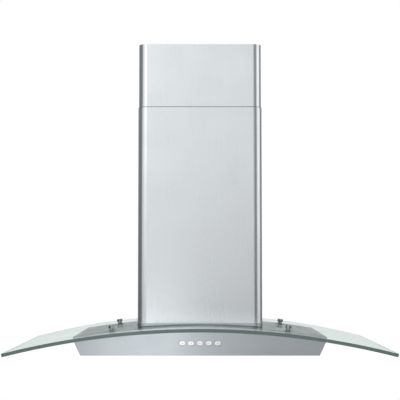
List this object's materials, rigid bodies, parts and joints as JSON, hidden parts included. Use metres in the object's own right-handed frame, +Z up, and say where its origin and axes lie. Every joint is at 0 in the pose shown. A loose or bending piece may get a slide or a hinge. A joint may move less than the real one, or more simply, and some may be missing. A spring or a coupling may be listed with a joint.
{
  "type": "island range hood",
  "caption": "Island range hood with a telescopic chimney, an arched glass canopy over a steel body with push buttons, grease filters and lamps, and a duct blower.",
  "frame": {"origin": "centre of the ceiling plate's top face, which bears on the ceiling", "axes": "+Z up, -Y towards the front with the buttons, +X to the right seen from the front"},
  "size_m": [0.914, 0.6, 0.766],
  "materials": {
    "galvanised_frame": "zinc-plated folded sheet, dull",
    "stainless_chimney": "stainless sheet, fine vertical brushing",
    "stainless_body": "stainless sheet, fine horizontal brushing",
    "stainless_deck": "stainless sheet, duller",
    "chrome": "polished cap screws",
    "steel_screws": "bright zinc screws",
    "clear_glass": "toughened clear glass with green edge",
    "black_rubber": "soft gasket rubber",
    "lamp_metal": "spun lamp bezel",
    "lamp_glass": "frosted lamp lens",
    "led_board": "white lamp board",
    "filter_frame": "rolled aluminium channel",
    "filter_mesh": "expanded aluminium mesh",
    "button_silver": "silver push button with a dark mark",
    "black_plastic": "moulded black plastic",
    "grey_plastic": "moulded grey plastic",
    "circuit_board": "green circuit board",
    "motor_steel": "grey motor can",
    "shaft_steel": "ground shaft",
    "impeller_sheet": "pressed aluminium blades",
    "cable_grey": "sheathed cable"
  },
  "bodies": {
    "ceiling_section": {"ceiling_plate": "galvanised_frame", "upper_posts": "galvanised_frame", "upper_post_bolts": "steel_screws", "upper_chimney_front": "stainless_chimney", "upper_chimney_rear": "stainless_chimney", "upper_chimney_screws": "steel_screws"},
    "hood": {"lower_posts": "galvanised_frame", "frame_clamp_bolts": "steel_screws", "chimney_brackets": "galvanised_frame", "frame_brace": "galvanised_frame", "lower_chimney_front": "stainless_chimney", "lower_chimney_rear": "stainless_chimney", "lower_chimney_screws": "steel_screws", "glass_canopy": "clear_glass", "glass_gasket": "black_rubber", "glass_cap_screws": "chrome", "glass_washers": "grey_plastic", "glass_nuts": "steel_screws", "body_shell": "stainless_body", "body_top_plate": "stainless_deck", "bottom_panel": "stainless_body", "bottom_panel_screws": "steel_screws", "lamp_led_boards": "led_board", "button_carrier": "black_plastic", "tact_switches": "black_plastic", "control_board": "circuit_board", "scroll_left": "black_plastic", "scroll_right": "black_plastic", "blower_box": "galvanised_frame", "motor": "motor_steel", "motor_bracket": "galvanised_frame", "duct_collar": "black_plastic", "junction_box": "grey_plastic", "junction_cover": "grey_plastic", "cable_gland": "black_plastic", "terminal_block": "led_board", "wiring_harness": "cable_grey", "lamp_housing_1": "lamp_metal", "lamp_lens_1": "lamp_glass", "lamp_housing_2": "lamp_metal", "lamp_lens_2": "lamp_glass", "lamp_housing_3": "lamp_metal", "lamp_lens_3": "lamp_glass", "lamp_housing_4": "lamp_metal", "lamp_lens_4": "lamp_glass"},
    "impeller": {"impeller": "impeller_sheet", "motor_shaft": "shaft_steel"},
    "damper_front": {"damper_flap_front": "black_plastic"},
    "damper_rear": {"damper_flap_rear": "black_plastic"},
    "filter_left": {"filter_frame_left": "filter_frame", "filter_mesh_left": "filter_mesh"},
    "filter_right": {"filter_frame_right": "filter_frame", "filter_mesh_right": "filter_mesh"},
    "latch_left": {"filter_latch_left": "black_plastic"},
    "latch_right": {"filter_latch_right": "black_plastic"},
    "push_button_1": {"button_1": "button_silver"},
    "push_button_2": {"button_2": "button_silver"},
    "push_button_3": {"button_3": "button_silver"},
    "push_button_4": {"button_4": "button_silver"},
    "push_button_5": {"button_5": "button_silver"}
  },
  "joints": [
    {"name": "height_adjust", "type": "slide", "parent": "ceiling_section", "child": "hood", "axis": [0, 0, -1], "range_m": [-0.12, 0.28]},
    {"name": "fan_spin", "type": "hinge", "parent": "hood", "child": "impeller", "pos_m": [0, -0.0235, -0.5755], "axis": [1, 0, 0], "continuous": true},
    {"name": "damper_front_swing", "type": "hinge", "parent": "hood", "child": "damper_front", "pos_m": [0, -0.006, -0.428], "axis": [-1, 0, 0], "range_deg": [0, 75]},
    {"name": "damper_rear_swing", "type": "hinge", "parent": "hood", "child": "damper_rear", "pos_m": [0, 0.006, -0.428], "axis": [1, 0, 0], "range_deg": [0, 75]},
    {"name": "filter_left_hinge", "type": "hinge", "parent": "hood", "child": "filter_left", "pos_m": [-0.108, 0.1615, -0.7575], "axis": [1, 0, 0], "range_deg": [0, 80]},
    {"name": "latch_left_slide", "type": "slide", "parent": "filter_left", "child": "latch_left", "axis": [0, 1, 0], "range_m": [0, 0.006], "stiffness_N_per_m": 300, "springref_m": -0.004},
    {"name": "filter_right_hinge", "type": "hinge", "parent": "hood", "child": "filter_right", "pos_m": [0.108, 0.1615, -0.7575], "axis": [1, 0, 0], "range_deg": [0, 80]},
    {"name": "latch_right_slide", "type": "slide", "parent": "filter_right", "child": "latch_right", "axis": [0, 1, 0], "range_m": [0, 0.006], "stiffness_N_per_m": 300, "springref_m": -0.004},
    {"name": "button_1_press", "type": "slide", "parent": "hood", "child": "push_button_1", "axis": [0, 1, 0], "range_m": [0, 0.0015], "stiffness_N_per_m": 600, "springref_m": -0.001},
    {"name": "button_2_press", "type": "slide", "parent": "hood", "child": "push_button_2", "axis": [0, 1, 0], "range_m": [0, 0.0015], "stiffness_N_per_m": 600, "springref_m": -0.001},
    {"name": "button_3_press", "type": "slide", "parent": "hood", "child": "push_button_3", "axis": [0, 1, 0], "range_m": [0, 0.0015], "stiffness_N_per_m": 600, "springref_m": -0.001},
    {"name": "button_4_press", "type": "slide", "parent": "hood", "child": "push_button_4", "axis": [0, 1, 0], "range_m": [0, 0.0015], "stiffness_N_per_m": 600, "springref_m": -0.001},
    {"name": "button_5_press", "type": "slide", "parent": "hood", "child": "push_button_5", "axis": [0, 1, 0], "range_m": [0, 0.0015], "stiffness_N_per_m": 600, "springref_m": -0.001}
  ]
}
